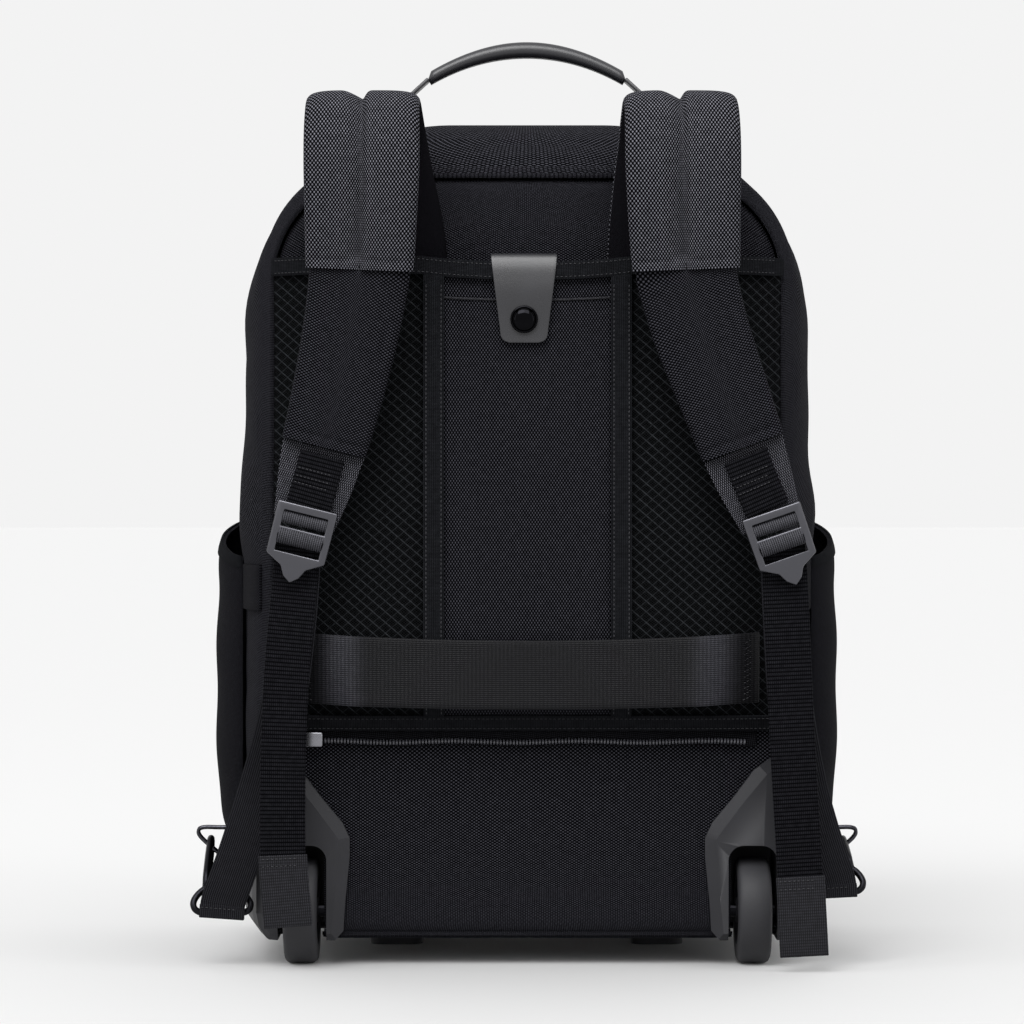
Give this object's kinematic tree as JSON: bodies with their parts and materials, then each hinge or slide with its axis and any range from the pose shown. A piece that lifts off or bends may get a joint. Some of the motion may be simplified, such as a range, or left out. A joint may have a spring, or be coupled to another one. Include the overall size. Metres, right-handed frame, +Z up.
{
  "type": "wheeled backpack",
  "caption": "Soft wheeled backpack with padded harness, shoulder straps, luggage strap, carry handle and wheels in moulded corner housings.",
  "frame": {"origin": "on the floor under the middle of the whole", "axes": "+Z up, the harness side faces -Y, +X to the right of a viewer who looks at the harness"},
  "size_m": [0.3948, 0.2686, 0.5505],
  "materials": {
    "ballistic_fabric": "black ballistic weave, matt",
    "smooth_fabric": "black fine plain weave, matt",
    "mesh_fabric": "black padded diamond mesh, matt",
    "webbing": "black woven webbing, slight sheen",
    "zip_coil": "black zip coil on woven tape",
    "leather": "black smooth leather, satin",
    "moulded_plastic": "black moulded plastic, fine texture",
    "rubber": "dark grey wheel rubber, matt",
    "gunmetal": "gunmetal plated, satin",
    "black_metal": "black enamelled metal, gloss",
    "aluminium": "satin aluminium"
  },
  "bodies": {
    "root": {"rear_shell": "ballistic_fabric", "front_shell": "ballistic_fabric", "harness_centre_panel": "ballistic_fabric", "strap_left_upper_pad": "ballistic_fabric", "strap_left_lower_pad": "ballistic_fabric", "strap_left_backing": "ballistic_fabric", "strap_right_upper_pad": "ballistic_fabric", "strap_right_lower_pad": "ballistic_fabric", "strap_right_backing": "ballistic_fabric", "side_pocket_left": "smooth_fabric", "side_pocket_right": "smooth_fabric", "harness_pad_left": "mesh_fabric", "harness_pad_right": "mesh_fabric", "channel_tape_left": "webbing", "channel_tape_right": "webbing", "harness_top_tape": "webbing", "harness_bottom_tape": "webbing", "luggage_strap": "webbing", "strap_left_link": "webbing", "strap_right_link": "webbing", "strap_left_tail": "webbing", "strap_right_tail": "webbing", "strap_left_load_webbing": "webbing", "strap_right_load_webbing": "webbing", "side_tab_left": "webbing", "side_tab_right": "webbing", "ring_tab_left": "webbing", "ring_tab_right": "webbing", "main_zip": "zip_coil", "harness_zip": "zip_coil", "trolley_flap": "leather", "carry_grip": "leather", "handle_strip_left": "leather", "handle_strip_right": "leather", "main_zip_puller": "leather", "wheel_housing_left": "moulded_plastic", "wheel_housing_right": "moulded_plastic", "foot_left": "moulded_plastic", "foot_right": "moulded_plastic", "strap_left_buckle": "gunmetal", "strap_right_buckle": "gunmetal", "side_ring_left": "gunmetal", "side_ring_right": "gunmetal", "main_zip_slider": "gunmetal", "flap_snap": "black_metal", "snap_hook_left": "black_metal", "snap_hook_right": "black_metal", "pull_handle": "aluminium", "axle_left": "aluminium", "axle_right": "aluminium", "harness_zip_slider": "aluminium"},
    "wheel_left": {"tyre_left": "rubber", "hub_left": "moulded_plastic"},
    "wheel_right": {"tyre_right": "rubber", "hub_right": "moulded_plastic"}
  },
  "joints": [
    {"name": "wheel_left_spin", "type": "hinge", "parent": "root", "child": "wheel_left", "pos_m": [-0.13313, -0.05775, 0.031], "axis": [1, 0, 0], "continuous": true},
    {"name": "wheel_right_spin", "type": "hinge", "parent": "root", "child": "wheel_right", "pos_m": [0.13227, -0.05775, 0.031], "axis": [1, 0, 0], "continuous": true}
  ]
}
